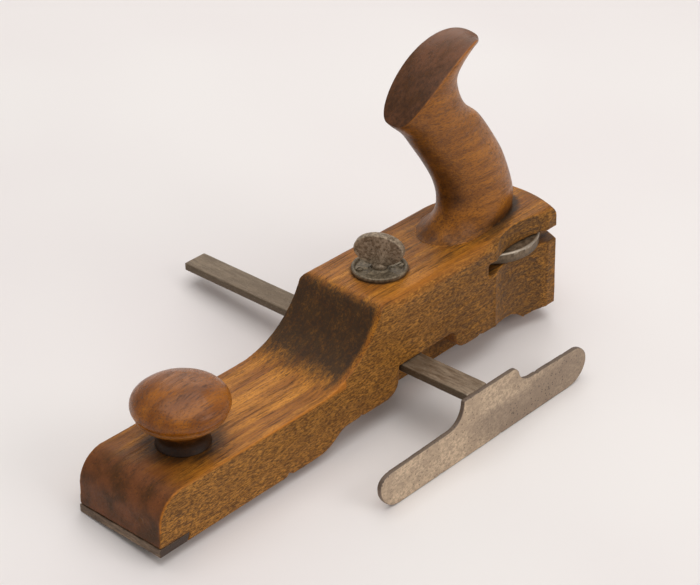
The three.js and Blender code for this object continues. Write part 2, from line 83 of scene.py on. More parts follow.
def bezier(a, b, c, d, steps):
    t = np.linspace(0, 1, steps, endpoint=False)[:, None]
    a, b, c, d = (np.array(p, float) for p in (a, b, c, d))
    return (1 - t) ** 3 * a + 3 * t * (1 - t) ** 2 * b + 3 * t**2 * (1 - t) * c + t**3 * d


def catmull_rom(rows, t):
    """A smooth curve through every row, at t from 0 to 1."""
    rows = np.array(rows, float)
    rows = np.vstack([2 * rows[0] - rows[1], rows, 2 * rows[-1] - rows[-2]])
    place = t * (len(rows) - 3)
    i = min(int(place), len(rows) - 4)
    w = place - i
    p0, p1, p2, p3 = rows[i : i + 4]
    return (
        p1
        + 0.5 * (p2 - p0) * w
        + (p0 - 2.5 * p1 + 2 * p2 - 0.5 * p3) * w**2
        + (1.5 * (p1 - p2) + 0.5 * (p3 - p0)) * w**3
    )


# ---------- meshes ----------
def add_object(name, data):
    """A new object with this mesh, light or camera, put into the scene."""
    obj = bpy.data.objects.new(name, data)
    bpy.context.scene.collection.objects.link(obj)
    return obj


def count_of(obj):
    return len(obj.data.vertices)


def new_object(name, points, faces):
    """A mesh object from points in millimetres."""
    mesh = bpy.data.meshes.new(name)
    mesh.from_pydata((np.asarray(points) - DATUM) / 1000, [], faces)
    mesh.validate()
    bm = bmesh.new()
    bm.from_mesh(mesh)
    bmesh.ops.recalc_face_normals(bm, faces=bm.faces)
    bm.to_mesh(mesh)
    bm.free()
    for polygon in mesh.polygons:
        polygon.use_smooth = True
    return add_object(name, mesh)


def copy_of(node, name):
    """A new object with the shape of a CAD node, its doubled vertices merged."""
    bm = bmesh.new()
    bm.from_mesh(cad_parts[node].data)
    bmesh.ops.remove_doubles(bm, verts=bm.verts, dist=2e-6)
    mesh = bpy.data.meshes.new(name)
    bm.to_mesh(mesh)
    bm.free()
    return add_object(name, mesh)


def apply_modifiers(obj):
    depsgraph = bpy.context.evaluated_depsgraph_get()
    obj.data = bpy.data.meshes.new_from_object(obj.evaluated_get(depsgraph))
    obj.modifiers.clear()


def remesh(obj, voxel):
    """Even small faces all over, voxel millimetres wide, so that edges can wear."""
    modifier = obj.modifiers.new("voxels", "REMESH")
    modifier.mode = "VOXEL"
    modifier.voxel_size = voxel / 1000
    modifier.use_smooth_shade = True
    apply_modifiers(obj)


def points_of(obj):
    """The vertices in millimetres."""
    out = np.empty(count_of(obj) * 3, np.float32)
    obj.data.vertices.foreach_get("co", out)
    return out.reshape(-1, 3).astype(float) * 1000 + DATUM


def set_points(obj, points):
    obj.data.vertices.foreach_set("co", ((points - DATUM) / 1000).astype(np.float32).ravel())
    obj.data.update()


def normals_of(obj):
    out = np.empty(count_of(obj) * 3, np.float32)
    obj.data.vertex_normals.foreach_get("vector", out)
    return out.reshape(-1, 3).astype(float)


def edges_of(obj):
    out = np.empty(len(obj.data.edges) * 2, np.int32)
    obj.data.edges.foreach_get("vertices", out)
    return out.reshape(-1, 2)


def neighbour_mean(edges, values):
    """The mean of each vertex's neighbours, column by column."""
    values = values.reshape(len(values), -1)
    a = np.r_[edges[:, 0], edges[:, 1]]
    b = np.r_[edges[:, 1], edges[:, 0]]
    count = np.maximum(np.bincount(a, minlength=len(values)), 1)
    columns = [np.bincount(a, column[b], minlength=len(values)) / count for column in values.T]
    return np.stack(columns, 1)


def relax(obj, rounds, weight=0.5):
    """Rounds off a mesh. weight is one number, or one for each vertex."""
    points = points_of(obj)
    edges = edges_of(obj)
    weight = np.broadcast_to(weight, (len(points),))[:, None]
    for _ in range(rounds):
        points += weight * (neighbour_mean(edges, points) - points)
    set_points(obj, points)


def paint(obj, name, values):
    """Stores a number from 0 to 1 on each vertex, for the materials to read."""
    attributes = obj.data.attributes
    attribute = attributes.get(name) or attributes.new(name, "FLOAT", "POINT")
    values = np.broadcast_to(np.clip(values, 0, 1), (count_of(obj),))
    attribute.data.foreach_set("value", values.astype(np.float32))


def painted(obj, name):
    """The numbers that paint stored."""
    out = np.empty(count_of(obj), np.float32)
    obj.data.attributes[name].data.foreach_get("value", out)
    return out


def paint_wear(obj, reach, gain):
    """Marks the outer corners as edge and the inner corners as hollow."""
    edges = edges_of(obj)
    points = points_of(obj)
    around = points
    for _ in range(reach):
        around = neighbour_mean(edges, around)
    bend = np.einsum("ij,ij->i", points - around, normals_of(obj)) * gain
    for _ in range(2):
        bend = neighbour_mean(edges, bend)[:, 0]
    paint(obj, "edge", bend)
    paint(obj, "hollow", -bend)


def dent(obj, depth, size, seed, detail=2):
    """Moves the surface in and out a little, as handling and wear leave it."""
    points = points_of(obj)
    move = ripple(points, size, seed, detail) * depth
    set_points(obj, points + normals_of(obj) * move[:, None])


def lathe(name, profile, x, y, around, top=None):
    """A turned piece. profile is [radius, z] from the axis round to the axis, or a closed
    ring that stays off the axis. top(radius, angle, z) may change a point's height."""
    profile = np.array(profile, float)
    ring = profile[0, 0] > 0.01
    angles = np.linspace(0, 2 * math.pi, around, endpoint=False)
    points = []
    rows = []
    for radius, z in profile:
        if radius < 0.01:
            points.append([x, y, z])
            rows.append([len(points) - 1] * around)
            continue
        start = len(points)
        for angle in angles:
            height = top(radius, angle, z) if top else z
            points.append([x + radius * math.cos(angle), y + radius * math.sin(angle), height])
        rows.append(list(range(start, start + around)))
    if ring:
        rows.append(rows[0])
    faces = []
    for low, high in zip(rows, rows[1:]):
        for j in range(around):
            k = (j + 1) % around
            corner = [low[j], low[k], high[k], high[j]]
            faces.append(list(dict.fromkeys(corner)))
    return new_object(name, points, faces)


def rounded_profile(points, steps=6):
    """Turns a list of [radius, z, corner radius] into a profile with rounded corners."""
    out = []
    for i, (r, z, corner) in enumerate(points):
        here = np.array([r, z])
        if not corner or i in (0, len(points) - 1):
            out.append(here)
            continue
        before = np.array(points[i - 1][:2]) - here
        after = np.array(points[i + 1][:2]) - here
        start = here + before / np.linalg.norm(before) * corner
        end = here + after / np.linalg.norm(after) * corner
        for t in np.linspace(0, 1, steps):
            out.append((1 - t) ** 2 * start + 2 * t * (1 - t) * here + t**2 * end)
    return out


def subdivided(profile, step):
    """The same closed profile, with a point about every step millimetres."""
    out = []
    for a, b in zip(profile, profile[1:] + profile[:1]):
        count = max(1, int(np.linalg.norm(b - a) / step))
        out += [a + (b - a) * k / count for k in range(count)]
    return out


def bell(distance, width):
    """1 at no distance, fading smoothly to 0 beyond about twice the width."""
    return np.exp(-((distance / width) ** 2))


# ---------- materials ----------
class Shader:
    """A material's node tree, built up call by call."""

    def __init__(self, name):
        self.material = bpy.data.materials.new(name)
        self.material.use_nodes = True
        self.tree = self.material.node_tree
        self.surface = self.tree.nodes["Principled BSDF"]
        self.object = self.tree.nodes.new("ShaderNodeTexCoord").outputs["Object"]

    def node(self, kind, values=(), **settings):
        node = self.tree.nodes.new("ShaderNode" + kind)
        for key, value in settings.items():
            setattr(node, key, value)
        for key, value in dict(values).items():
            self.put(node.inputs[key], value)
        return node

    def put(self, socket, value):
        if isinstance(value, bpy.types.NodeSocket):
            self.tree.links.new(value, socket)
        else:
            socket.default_value = value

    def stretched(self, sx, sy, sz, bend=None):
        """Object coordinates, scaled so that one unit is 1/sx, 1/sy and 1/sz millimetres."""
        source = self.object
        if bend is not None:
            source = self.node("VectorMath", {0: source, 1: bend}, operation="ADD").outputs[0]
        scale = (sx * 1000, sy * 1000, sz * 1000)
        values = {"Vector": source, "Scale": scale}
        return self.node("Mapping", values).outputs[0]

    def noise(self, vector, detail=2.0, roughness=0.5, distortion=0.0):
        values = {
            "Vector": vector,
            "Scale": 1.0,
            "Detail": detail,
            "Roughness": roughness,
            "Distortion": distortion,
        }
        return self.node("TexNoise", values).outputs["Fac"]

    def cells(self, vector, randomness=1.0):
        values = {"Vector": vector, "Scale": 1.0, "Randomness": randomness}
        return self.node("TexVoronoi", values).outputs["Distance"]

    def band(self, value, low, high, start=0.0, end=1.0):
        """start below low, end above high, and smooth between them."""
        values = {"Value": value, 1: low, 2: high, 3: start, 4: end}
        node = self.node("MapRange", values, interpolation_type="SMOOTHSTEP")
        return node.outputs[0]

    def maths(self, operation, a, b=0.0):
        return self.node("Math", {0: a, 1: b}, operation=operation).outputs[0]

    def times(self, a, b):
        return self.maths("MULTIPLY", a, b)

    def plus(self, a, b):
        return self.maths("ADD", a, b)

    def blend(self, amount, a, b, mode="MIX"):
        node = self.tree.nodes.new("ShaderNodeMix")
        node.data_type = "RGBA"
        node.blend_type = mode
        self.put(node.inputs["Factor"], amount)
        self.put(node.inputs[6], a)
        self.put(node.inputs[7], b)
        return node.outputs[2]

    def painted(self, name):
        return self.node("Attribute", attribute_name=name).outputs["Fac"]

    def bump(self, height, distance, strength=1.0):
        values = {"Height": height, "Distance": distance / 1000, "Strength": strength}
        self.put(self.surface.inputs["Normal"], self.node("Bump", values).outputs[0])


def wood(name, light, dark, pore, side_light, side_dark, stain_and_shade, toe, rough, gloss):
    """Old varnished wood with its grain along x, darkened, with stains, painted shade and
    painted highlights, and worn at the edges.
    """
    s = Shader(name)
    sway = s.noise(s.stretched(0.006, 0.02, 0.02), 2.0)
    shifts = {"Y": s.times(sway, 0.012), "Z": s.times(sway, 0.009)}
    bend = s.node("CombineXYZ", shifts).outputs[0]
    growth = s.noise(s.stretched(0.008, 0.16, 0.16, bend), 4.0, 0.6)
    streak = s.noise(s.stretched(0.03, 0.7, 0.7, bend), 4.0, 0.65)
    fine = s.noise(s.stretched(0.06, 1.5, 1.5, bend), 4.0, 0.7)
    dash = s.noise(s.stretched(0.5, 2.0, 2.0, bend), 3.0, 0.65)
    fleck = s.noise(s.stretched(0.35, 1.0, 1.0, bend), 5.0, 0.75)
    patch = s.noise(s.stretched(0.05, 0.09, 0.09), 4.0, 0.6)
    side = s.painted("side")
    stain_and_shade_mask = s.painted("stain_and_shade")

    colour = s.blend(s.band(growth, 0.35, 0.68), dark, light)
    colour = s.blend(s.band(patch, 0.42, 0.72, 0.0, 0.4), colour, dark)
    colour = s.blend(s.band(streak, 0.52, 0.72, 0.0, 0.7), colour, pore)
    lines = s.times(s.band(fine, 0.5, 0.62), s.band(patch, 0.3, 0.6, 0.55, 0.95))
    colour = s.blend(s.times(lines, 0.85), colour, pore)
    colour = s.blend(s.band(dash, 0.5, 0.64, 0.0, 0.45), colour, pore)

    flank = s.blend(s.band(fleck, 0.36, 0.64), side_light, side_dark)
    flank = s.blend(s.band(patch, 0.45, 0.68, 0.0, 0.45), flank, side_dark)
    flank = s.blend(s.band(dash, 0.46, 0.57, 0.0, 0.75), flank, pore)
    colour = s.blend(side, colour, flank)

    toe_tone = s.blend(s.band(patch, 0.35, 0.7), toe, pore)
    toe_tone = s.blend(s.band(fleck, 0.5, 0.7, 0.0, 0.35), toe_tone, dark)
    toe_tone = s.blend(s.band(fine, 0.5, 0.66, 0.0, 0.7), toe_tone, pore)
    colour = s.blend(s.painted("toe"), colour, toe_tone)

    mottle = s.noise(s.stretched(0.16, 0.2, 0.2), 5.0, 0.7)
    specks = s.noise(s.stretched(0.5, 0.8, 0.8), 3.0, 0.7)
    broken = s.plus(s.times(mottle, 0.55), s.times(specks, 0.45))
    grimy = s.plus(s.times(broken, 0.5), s.times(streak, 0.5))
    # Stains and painted shade where the pieces mark them, with random grimy patches.
    depth = s.plus(stain_and_shade_mask, s.band(grimy, 0.38, 0.6, 0.16, -0.2))
    colour = s.blend(s.band(depth, 0.1, 0.95, 0.0, 0.94), colour, stain_and_shade)

    rubbed = s.times(s.painted("edge"), s.band(broken, 0.4, 0.56, 0.15, 1.0))
    bright = s.blend(0.4, light, linear(222, 150, 66))
    colour = s.blend(s.band(rubbed, 0.3, 0.85, 0.0, 0.7), colour, bright)
    # Painted golden highlight lines where the pieces mark them.
    painted_highlight = s.times(s.painted("painted_highlight"), s.band(streak, 0.4, 0.62, 0.9, 0.35))
    colour = s.blend(painted_highlight, colour, linear(196, 118, 34))
    hollow = s.band(s.painted("hollow"), 0.1, 0.75, 0.0, 0.8)
    colour = s.blend(hollow, colour, linear(40, 28, 20))
    s.put(s.surface.inputs["Base Color"], colour)

    dull = s.plus(s.band(streak, 0.4, 0.75, rough - 0.05, rough + 0.14), s.times(side, 0.1))
    s.put(s.surface.inputs["Roughness"], s.plus(dull, s.times(stain_and_shade_mask, 0.1)))
    s.surface.inputs["Specular IOR Level"].default_value = gloss
    grain = s.times(dash, s.plus(0.35, s.times(side, 0.6)))
    height = s.plus(s.band(fine, 0.54, 0.7, 1.0, 0.35), grain)
    s.bump(s.plus(height, s.times(mottle, 0.7)), 0.09, 0.8)
    return s.material


def metal(name, light, dark, deep, rust, rough, pitted, along=(0.35, 0.35, 0.35), shine=0.85):
    """Old steel or iron: mottled patina, pits, a little rust and brighter edges."""
    s = Shader(name)
    sx, sy, sz = along
    cloud = s.noise(s.stretched(sx * 0.16, sy * 0.16, sz * 0.16), 5.0, 0.6)
    mottle = s.noise(s.stretched(sx, sy, sz), 5.0, 0.65)
    grit = s.noise(s.stretched(sx * 5, sy * 5, sz * 5), 3.0, 0.6)
    pits = s.cells(s.stretched(0.55, 0.55, 0.55))
    pit = s.times(s.band(pits, 0.1, 0.3, 1.0, 0.0), s.band(cloud, 0.42, 0.6, 0.2, 1.0))

    colour = s.blend(s.band(mottle, 0.36, 0.66), dark, light)
    colour = s.blend(s.band(cloud, 0.4, 0.66, 0.0, 0.6), colour, dark)
    colour = s.blend(s.times(s.painted("shade"), 0.85), colour, deep)
    colour = s.blend(s.band(grit, 0.55, 0.72, 0.0, 0.55), colour, dark)
    colour = s.blend(s.band(grit, 0.3, 0.42, 0.45, 0.0), colour, light)
    spots = s.times(s.band(mottle, 0.58, 0.72), s.band(grit, 0.45, 0.6))
    colour = s.blend(s.times(spots, 0.6), colour, rust)
    colour = s.blend(s.times(pit, pitted), colour, linear(38, 33, 30))
    worn = s.times(s.painted("edge"), s.band(mottle, 0.3, 0.6, 1.0, 0.45))
    bright = s.blend(0.6, light, linear(215, 205, 188))
    colour = s.blend(s.band(worn, 0.15, 0.7, 0.0, 0.75), colour, bright)
    hollow = s.band(s.painted("hollow"), 0.1, 0.8, 0.0, 0.75)
    colour = s.blend(hollow, colour, linear(34, 29, 25))
    s.put(s.surface.inputs["Base Color"], colour)
    s.surface.inputs["Metallic"].default_value = shine
    matt = s.band(mottle, 0.3, 0.7, rough - 0.08, rough + 0.12)
    s.put(s.surface.inputs["Roughness"], s.plus(matt, s.times(s.painted("edge"), -0.12)))
    rough_skin = s.plus(s.times(grit, 0.3), s.times(pit, -0.9 * pitted))
    s.bump(s.plus(s.times(mottle, 0.6), rough_skin), 0.1, 0.7)
    return s.material


STOCK_WOOD = wood(
    "stock_wood",
    light=linear(212, 140, 46),
    dark=linear(148, 88, 26),
    pore=linear(70, 42, 15),
    side_light=linear(192, 132, 54),
    side_dark=linear(128, 84, 33),
    stain_and_shade=linear(50, 37, 24),
    toe=linear(118, 68, 36),
    rough=0.46,
    gloss=0.22,
)
HANDLE_WOOD = wood(
    "handle_wood",
    light=linear(184, 114, 26),
    dark=linear(130, 76, 16),
    pore=linear(84, 48, 12),
    side_light=linear(180, 112, 24),
    side_dark=linear(136, 80, 16),
    stain_and_shade=linear(56, 34, 18),
    toe=linear(112, 70, 44),
    rough=0.32,
    gloss=0.26,
)
KNOB_WOOD = wood(
    "knob_wood",
    light=linear(178, 106, 22),
    dark=linear(140, 78, 18),
    pore=linear(80, 46, 22),
    side_light=linear(172, 112, 40),
    side_dark=linear(122, 76, 26),
    stain_and_shade=linear(32, 19, 9),
    toe=linear(140, 86, 46),
    rough=0.28,
    gloss=0.32,
)
FENCE_STEEL = metal(
    "fence_steel",
    light=linear(226, 202, 172),
    dark=linear(172, 150, 127),
    deep=linear(108, 91, 80),
    rust=linear(118, 84, 60),
    rough=0.58,
    pitted=0.7,
    along=(0.6, 0.8, 0.8),
    shine=0.35,
)
BEAM_STEEL = metal(
    "beam_steel",
    light=linear(172, 154, 132),
    dark=linear(120, 102, 82),
    deep=linear(84, 70, 52),
    rust=linear(116, 84, 50),
    rough=0.52,
    pitted=0.35,
    along=(0.6, 0.1, 0.6),
    shine=0.5,
)
DARK_IRON = metal(
    "dark_iron",
    light=linear(176, 160, 134),
    dark=linear(92, 80, 62),
    deep=linear(80, 70, 56),
    rust=linear(122, 80, 44),
    rough=0.5,
    pitted=0.8,
    along=(0.55, 0.55, 0.55),
    shine=0.5,
)
THUMB_IRON = metal(
    "thumb_iron",
    light=linear(202, 182, 156),
    dark=linear(112, 94, 74),
    deep=linear(104, 88, 68),
    rust=linear(120, 78, 44),
    rough=0.5,
    pitted=0.7,
    along=(0.6, 0.6, 0.6),
    shine=0.4,
)
DISC_STEEL = metal(
    "disc_steel",
    light=linear(150, 130, 106),
    dark=linear(88, 74, 58),
    deep=linear(80, 66, 50),
    rust=linear(104, 72, 46),
    rough=0.48,
    pitted=0.4,
    shine=0.6,
)
PLATE_STEEL = metal(
    "plate_steel",
    light=linear(164, 140, 116),
    dark=linear(96, 78, 62),
    deep=linear(64, 52, 48),
    rust=linear(98, 64, 44),
    rough=0.58,
    pitted=0.5,
    along=(0.4, 0.16, 1.1),
    shine=0.45,
)
INNER_STEEL = metal(
    "inner_steel",
    light=linear(176, 170, 160),
    dark=linear(110, 104, 96),
    deep=linear(96, 90, 82),
    rust=linear(112, 80, 56),
    rough=0.42,
    pitted=0.3,
)


def finish_piece(obj, material, body, slot, *nodes):
    """Gives a detailed piece its material and its body, and hides the CAD nodes that it stands
    for.
    """
    obj.data.materials.clear()
    obj.data.materials.append(material)
    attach(obj, body)
    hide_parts(*nodes)


# ---------- stock ----------
TOE_ROUND = 14.4
TOE_CENTRE = (15.5, 14.4)
SLOPE_START = 100.0
SLOPE_ANGLE = math.radians(64)
HOLLOW_RADIUS = 46.0
CREST_RADIUS = 7.5
SLOPE_HOLLOW = (SLOPE_START, LOW_DECK + HOLLOW_RADIUS)
SLOPE_CREST = (
    SLOPE_START + (HOLLOW_RADIUS + CREST_RADIUS) * math.sin(SLOPE_ANGLE),
    LOW_DECK + HOLLOW_RADIUS - (HOLLOW_RADIUS + CREST_RADIUS) * math.cos(SLOPE_ANGLE),
)
EDGE_ROUND = 4.2
EDGE_Z = 54.6
REAR_BOW_X = 220.6
REAR_BOW_RADIUS = 58
SCALLOP_X = 246
SCALLOP_RADIUS = 50
SCALLOP_DEPTH = 4.3
SLOT_START = 219.8
SLOT_Z = 44.6

# The handle's foot, an oval on the deck that spreads out at its front.
FOOT_X = 236.5
FOOT_HALF_LENGTH = 27.5
FOOT_HALF_WIDTH = 13.5
FOOT_FILLET = 10.0
FOOT_FRONT = (-0.55, 0.95)


def snap_round(points, columns, centre, radius, where):
    """Puts points that lie near a round surface exactly on it."""
    offset = points[:, columns] - np.array(centre)
    distance = np.maximum(np.linalg.norm(offset, axis=1), 1e-6)
    near = where & (np.abs(distance - radius) < 0.5)
    moved = np.array(centre) + offset / distance[:, None] * radius
    for i, column in enumerate(columns):
        points[near, column] = moved[near, i]


def foot_front(x):
    """0 behind the handle's foot and 1 at its front, where the foot spreads."""
    return smoothstep(*FOOT_FRONT, (FOOT_X - x) / FOOT_HALF_LENGTH)


def foot_distance(points):
    """How far a point on the deck is from the foot of the handle."""
    along = (points[:, 0] - FOOT_X) / FOOT_HALF_LENGTH
    across = (points[:, 1] - MID_Y) / FOOT_HALF_WIDTH
    reach = np.maximum(np.hypot(along, across), 1e-6)
    from_middle = np.hypot(points[:, 0] - FOOT_X, points[:, 1] - MID_Y)
    return from_middle * (1 - 1 / reach)


def true_stock_arcs(obj):
    """Takes the steps of the voxels out of the stock's round surfaces."""
    p = points_of(obj)
    x, y, z = p.T
    middle = STOCK_WIDTH / 2
    slope = (x > 99) & (x < 141) & (z > 28)
    snap_round(p, [0, 2], SLOPE_HOLLOW, HOLLOW_RADIUS, slope)
    crest = (x > 141) & (x < 148.2) & (z > 54)
    snap_round(p, [0, 2], SLOPE_CREST, CREST_RADIUS, crest)
    toe = (x < TOE_CENTRE[0]) & (z > TOE_CENTRE[1])
    snap_round(p, [0, 2], TOE_CENTRE, TOE_ROUND, toe)
    rear = (x > 270) & (z < EDGE_Z)
    snap_round(p, [0, 1], (REAR_BOW_X, middle), REAR_BOW_RADIUS, rear)
    for side in (-1, 1):
        scallop_y = middle + side * (middle - SCALLOP_DEPTH + SCALLOP_RADIUS)
        wall = (x > 224) & (x < 267) & ((y - middle) * side > 18)
        snap_round(p, [0, 1], (SCALLOP_X, scallop_y), SCALLOP_RADIUS, wall)
        edge_y = middle + side * (middle - EDGE_ROUND)
        shoulder = ((y - edge_y) * side > 0) & (z > EDGE_Z) & (x > 139) & (x < 266)
        snap_round(p, [1, 2], (edge_y, EDGE_Z), EDGE_ROUND, shoulder)
    set_points(obj, p)


def wear_stock(obj):
    # The corners are rubbed round, more on the decks than under the sole.
    p = points_of(obj)
    x, y, z = p.T
    worn = 0.35 + 0.3 * ripple(p, 22, 3) + 0.15 * smoothstep(20, 30, z)
    arris = (1 - smoothstep(1, 3, y)) * smoothstep(26, 27.5, z) * (x < 130)
    crisp = np.maximum(smoothstep(214, 220, x) * 0.72, arris * 0.6)
    relax(obj, 5, np.clip(worn, 0.1, 0.7) * (1 - crisp))
    dent(obj, 0.13, 28, 5)
    dent(obj, 0.04, 5, 9)
    # Small chips along the sole and by the notch, and a knock on the toe: place, size, push.
    p = points_of(obj)
    chips = [
        ((80, 0, 0), 1.5, (0, 0.7, 1.2)),
        ((128, 0, 7.5), 1.0, (0, 0.3, 0.6)),
        ((0.4, 12, 14), 1.0, (0.5, 0, 0)),
        ((214, 0, 11), 1.2, (0, 0.4, 0.7)),
    ]
    for place, size, push in chips:
        p += bell(np.linalg.norm(p - place, axis=1), size)[:, None] * push
    set_points(obj, p)
    paint_wear(obj, 3, 3.4)


def darken_stock(obj):
    """Darker on the slope, round the knob, the nut and the handle, and toward the rear."""
    p = points_of(obj)
    n = normals_of(obj)
    x, y, z = p.T
    up = smoothstep(0.35, 0.8, n[:, 2])
    deck = (z > 57) * up
    slope = smoothstep(98, 124, x + 3 * ripple(p, 9, 6)) * (1 - smoothstep(141, 149, x))
    slope *= (z > 27) * smoothstep(0.5, 5, y)
    slope *= smoothstep(-0.1, 0.15, n[:, 2] - 0.4 * np.abs(n[:, 1]))
    knob = 1 - smoothstep(13, 27, np.hypot(x - KNOB_X, y - MID_Y))
    flare = FOOT_FILLET * foot_front(x)
    foot = 1 - smoothstep(0.5, 9 + flare * 0.6, foot_distance(p) - flare * 0.8)
    foot *= 1 - flare * 0.055
    ring = 1 - smoothstep(13.2, 16, np.hypot(x - CLAMP_X, y - MID_Y))
    wall = smoothstep(224, 228, x) * (1 - smoothstep(265.5, 267, x)) * (z > 1)
    wall *= smoothstep(0.5, 0.9, np.abs(n[:, 1]))
    wall *= smoothstep(0.2, 1.5, np.minimum(y, STOCK_WIDTH - y))
    under = smoothstep(-0.3, -0.8, n[:, 2])
    rebate = smoothstep(0.5, 0.9, -n[:, 1]) * smoothstep(5, 14, y) * (z < 24)
    slot = smoothstep(0.8, 2.5, x - SLOT_START) * (np.abs(z - SLOT_Z) < 3.6)
    slot *= smoothstep(0.5, 0.9, np.abs(n[:, 2]))
    stain_and_shade = np.maximum.reduce([
        slope * 0.9,
        knob * up * (z < 40) * 0.7,
        foot * deck * 0.95,
        smoothstep(158, 200, x) * 0.4,
        ring * deck * 0.75,
        wall * 0.52,
        under * 0.5,
        rebate * 0.35,
        slot * 0.7,
    ])
    paint(obj, "stain_and_shade", stain_and_shade)


def tone_stock(obj):
    """Marks the side grain, the reddish toe and painted golden highlights along the worn
    right-hand arrises.
    """
    p = points_of(obj)
    n = normals_of(obj)
    x, y, z = p.T
    paint(obj, "side", smoothstep(0.45, 0.85, np.abs(n[:, 1])))
    toe = (1 - smoothstep(6, 33, x + 3 * ripple(p, 16, 2))) * (1 - np.abs(n[:, 1]))
    paint(obj, "toe", toe)
    # Painted highlight lines along the right-hand arrises of the high deck, the toe and the
    # low deck.
    arris = 1 - smoothstep(0.3, 1.3, y)
    on_deck = smoothstep(146, 156, x) * (1 - smoothstep(214, 228, x))
    on_deck *= smoothstep(53.5, 56, z) * (1 - smoothstep(4.5, 8, y))
    from_toe = np.hypot(x - TOE_CENTRE[0], z - TOE_CENTRE[1])
    on_toe = arris * (x < TOE_CENTRE[0]) * smoothstep(13.4, 14.1, from_toe) * (z > 12)
    on_low = arris * smoothstep(27.6, 28.4, z) * (x < 118)
    paint(obj, "painted_highlight", np.maximum.reduce([on_deck * 0.4, on_toe * 0.85, on_low * 0.85]))


def make_stock():
    obj = copy_of("stock", "stock_block")
    remesh(obj, 0.55)
    true_stock_arcs(obj)
    wear_stock(obj)
    tone_stock(obj)
    darken_stock(obj)
    finish_piece(obj, STOCK_WOOD, "gauge_body", "stock_wood", "stock")


# ---------- handle ----------
# Front x, front z, rear x, rear z, half thickness and crown of each section of the grip.
GRIP_SECTIONS = [
    [209, 59.1, 263.9, 59.1, 13.3, 0],
    [214.2, 72.6, 263.2, 69.7, 13.2, 0],
    [212.1, 84.9, 257.1, 86.5, 13, 0],
    [204.5, 98.3, 250.8, 98, 12.9, 0],
    [194.4, 112.8, 238.2, 115.7, 12.5, 0],
    [188.3, 121.1, 226, 127.1, 12.3, 0],
    [180.8, 127.9, 220.3, 143.3, 12.4, 11.7],
    [179.2, 129.8, 237.8, 156.2, 13, 28.5],
]
GRIP_TOP_FULLNESS = 0.36


def grip_ring(t, angles):
    """Points around the grip, t from 0 at the deck to 1 at the rim of the top."""
    front_x, front_z, rear_x, rear_z, half, crown = catmull_rom(GRIP_SECTIONS, t)
    middle = np.array([(front_x + rear_x) / 2, (front_z + rear_z) / 2])
    reach = np.array([(rear_x - front_x) / 2, (rear_z - front_z) / 2])
    up = np.array([-reach[1], reach[0]]) / np.linalg.norm(reach)
    near_top = np.clip((t * 7 - 4.5) / 2.5, 0, 1)
    oval = 1 - GRIP_TOP_FULLNESS * near_top**1.5
    along = (1 + np.cos(angles)) / 2
    lift = max(crown, 0) * along * (1 - along) ** 0.64
    xz = middle + np.cos(angles)[:, None] * reach + lift[:, None] * up
    across = half * np.sign(np.sin(angles)) * np.abs(np.sin(angles)) ** oval
    return np.stack([xz[:, 0], MID_Y + across, xz[:, 1]], 1)


def grip_sides(around, rings):
    """The grip's rings of points, the lowest one just under the deck."""
    angles = np.arange(around) * 2 * math.pi / around
    out = np.stack([np.cos(angles), np.sin(angles)], 1)
    # The foot spreads into the deck at the front and stays square to it at the rear.
    spread = FOOT_FILLET * smoothstep(*FOOT_FRONT, -np.cos(angles + 0.25))
    rows = []
    for t in np.linspace(0, 1, rings) ** 1.15:
        ring = grip_ring(t, angles)
        rise = np.clip((ring[:, 2] - HIGH_DECK) / 12.5, 0, 1)
        fillet = spread * (1 - np.sqrt(np.clip(1 - (1 - rise) ** 2, 0, 1)))
        ring[:, :2] += out * fillet[:, None]
        ring[:, 2] -= 0.27 * (1 - smoothstep(0, 0.4, rise))
        rows.append(ring)
    low = rows[0].copy()
    low[:, 2] = HIGH_DECK - 0.6
    return [low, *rows]


def close_grip_top(points, faces, last, around, across):
    """Closes the top by lines of points that run straight across from side to side."""
    lines = [[last]]
    for j in range(1, around // 2):
        left, right = points[last + j], points[last + around - j]
        line = [last + j]
        for k in range(1, across):
            w = k / across
            bulge = 0.55 * 4 * w * (1 - w) * math.sin(math.pi * j * 2 / around)
            points.append(left * (1 - w) + right * w + np.array([-0.5, 0, 0.85]) * bulge)
            line.append(len(points) - 1)
        line.append(last + around - j)
        lines.append(line)
    lines.append([last + around // 2])
    for one, two in zip(lines, lines[1:]):
        for k in range(across):
            corner = [one[min(k, len(one) - 1)], one[min(k + 1, len(one) - 1)]]
            corner += [two[min(k + 1, len(two) - 1)], two[min(k, len(two) - 1)]]
            faces.append(list(dict.fromkeys(corner)))


def build_grip():
    around = 128
    rows = grip_sides(around, rings=150)
    points = list(np.concatenate(rows))
    faces = []
    for i in range(len(rows) - 1):
        for j in range(around):
            k = (j + 1) % around
            a, b = i * around, (i + 1) * around
            faces.append([a + j, a + k, b + k, b + j])
    faces.append(list(range(around))[::-1])
    last = (len(rows) - 1) * around
    close_grip_top(points, faces, last, around, across=20)
    obj = new_object("grip", points, faces)
    number = np.arange(count_of(obj))
    paint(obj, "rim", (number >= last) & (number < last + around))
    paint(obj, "facet", number >= last)
    modifier = obj.modifiers.new("smooth", "SUBSURF")
    modifier.levels = modifier.render_levels = 1
    apply_modifiers(obj)
    return obj


def wear_grip(obj):
    relax(obj, 2, 0.4)
    # The horn is blunt at its right corner, and the hollow below it is rubbed smooth.
    p = points_of(obj)
    tip = np.linalg.norm(p - [235.5, 18, 158], axis=1)
    p += bell(tip, 5.5)[:, None] * [-0.4, 0.4, -2.6]
    set_points(obj, p)
    relax(obj, 60, 0.7 * bell(tip, 6))
    hollow = np.hypot(p[:, 0] - 225, p[:, 2] - 129)
    relax(obj, 220, 0.9 * bell(hollow, 8) * (1 - smoothstep(136, 142, p[:, 2])))
    dent(obj, 0.12, 24, 11)
    dent(obj, 0.03, 4, 12)
    paint_wear(obj, 4, 2.2)


